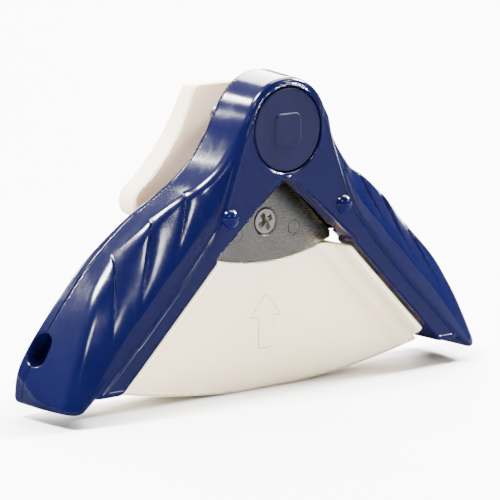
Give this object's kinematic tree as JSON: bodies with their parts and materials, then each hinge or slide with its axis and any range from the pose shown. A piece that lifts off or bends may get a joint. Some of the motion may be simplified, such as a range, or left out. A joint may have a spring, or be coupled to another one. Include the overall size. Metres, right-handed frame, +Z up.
{
  "type": "corner punch",
  "caption": "Hand-held punch that rounds paper corners: two-armed glossy housing, paper tray, steel die plate and a sprung rear squeeze lever.",
  "frame": {"origin": "middle of the footprint on the surface that the punch stands on, at the tray's lowest line", "axes": "+Z up through the badge, +X along the spread of the two arms, +Y from the badge towards the squeeze lever; the badge faces -Y"},
  "size_m": [0.1266, 0.0276, 0.0753],
  "materials": {
    "housing_blue": "glossy navy blue",
    "badge_blue": "fine spark-eroded texture",
    "rivet_blue": "glossy domed caps",
    "cream_plastic": "satin cream",
    "hardened_steel": "ground, straw-tempered edge",
    "die_steel": "fine brushed",
    "bright_steel": "nickel plated",
    "screw_steel": "zinc plated",
    "pin_steel": "ground",
    "spring_steel": "drawn wire",
    "cast_zinc": "as cast",
    "bush_white": "acetal"
  },
  "bodies": {
    "housing": {"front_housing": "housing_blue", "rear_cover": "housing_blue", "badge_cap": "badge_blue", "dome_rivets": "rivet_blue", "cutter_plate": "hardened_steel", "cover_screws": "screw_steel", "hinge_pin_left": "pin_steel", "hinge_pin_right": "pin_steel", "hinge_clips": "pin_steel", "stop_screws": "screw_steel", "return_spring_left": "spring_steel", "return_spring_right": "spring_steel"},
    "squeeze_unit": {"paper_tray": "cream_plastic", "die_plate": "die_steel", "die_screw": "bright_steel", "dowel_pins": "die_steel", "die_block": "cast_zinc", "hinge_bush_left": "bush_white", "hinge_bush_right": "bush_white", "squeeze_lever": "cream_plastic", "lever_screws": "screw_steel"}
  },
  "joints": [
    {"name": "squeeze", "type": "hinge", "parent": "housing", "child": "squeeze_unit", "pos_m": [0, 0.0008, 0.0212], "axis": [1, 0, 0], "range_deg": [0, 5], "stiffness_Nm_per_rad": 0.6, "springref_deg": -8.59, "deforming": ["return_spring_left", "return_spring_right"]}
  ]
}
